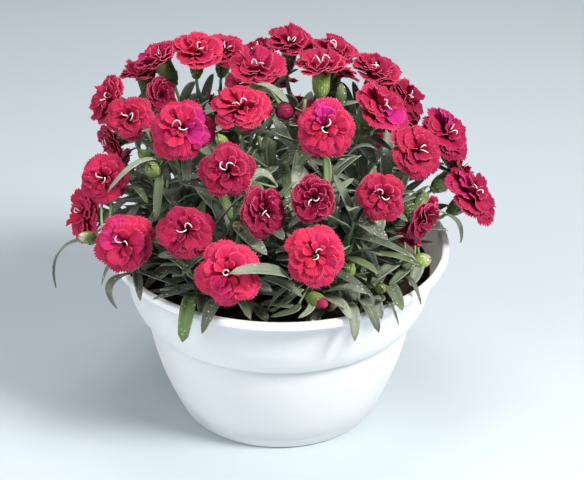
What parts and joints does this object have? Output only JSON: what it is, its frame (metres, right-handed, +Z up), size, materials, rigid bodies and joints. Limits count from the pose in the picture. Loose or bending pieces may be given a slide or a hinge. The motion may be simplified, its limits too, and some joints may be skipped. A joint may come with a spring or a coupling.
{
  "type": "potted garden pink",
  "caption": "Garden pink (dianthus) in flower in a plain round bowl: ruffled double blooms over a dome of narrow leaves, with the soil it grows in.",
  "frame": {"origin": "centre of the bowl's flat base, on the surface that it stands on", "axes": "+Z up through the plant, -Y towards the front, +X to the right"},
  "size_m": [0.3272, 0.2884, 0.2857],
  "materials": {
    "bowl_plastic": "satin white",
    "soil": "matt, moist and crumbly",
    "leaf": "waxy grey green",
    "petal": "soft crimson"
  },
  "bodies": {
    "root": {"bowl": "bowl_plastic", "soil": "soil", "flower_01": "petal", "flower_02": "petal", "flower_03": "petal", "flower_04": "petal", "flower_05": "petal", "flower_06": "petal", "flower_07": "petal", "flower_08": "petal", "flower_09": "petal", "flower_10": "petal", "flower_11": "petal", "flower_12": "petal", "flower_13": "petal", "flower_14": "petal", "flower_15": "petal", "flower_16": "petal", "flower_17": "petal", "flower_18": "petal", "flower_19": "petal", "flower_20": "petal", "flower_21": "petal", "flower_22": "petal", "flower_23": "petal", "flower_24": "petal", "flower_25": "petal", "flower_26": "petal", "flower_27": "petal", "flower_28": "petal", "flower_29": "petal", "flower_30": "petal", "flower_31": "petal", "flower_32": "petal", "flower_33": "petal", "flower_34": "petal", "flower_35": "petal", "flower_36": "petal", "flower_37": "petal", "flower_38": "petal", "flower_39": "petal", "flower_40": "petal", "flower_41": "petal", "flower_42": "petal", "flower_43": "petal", "flower_44": "petal", "flower_45": "petal", "flower_46": "petal", "flower_47": "petal", "bud_tip_1": "petal", "bud_tip_2": "petal", "clump_1": "leaf", "clump_2": "leaf", "clump_3": "leaf", "clump_4": "leaf", "clump_5": "leaf", "clump_6": "leaf", "clump_7": "leaf"}
  },
  "joints": []
}
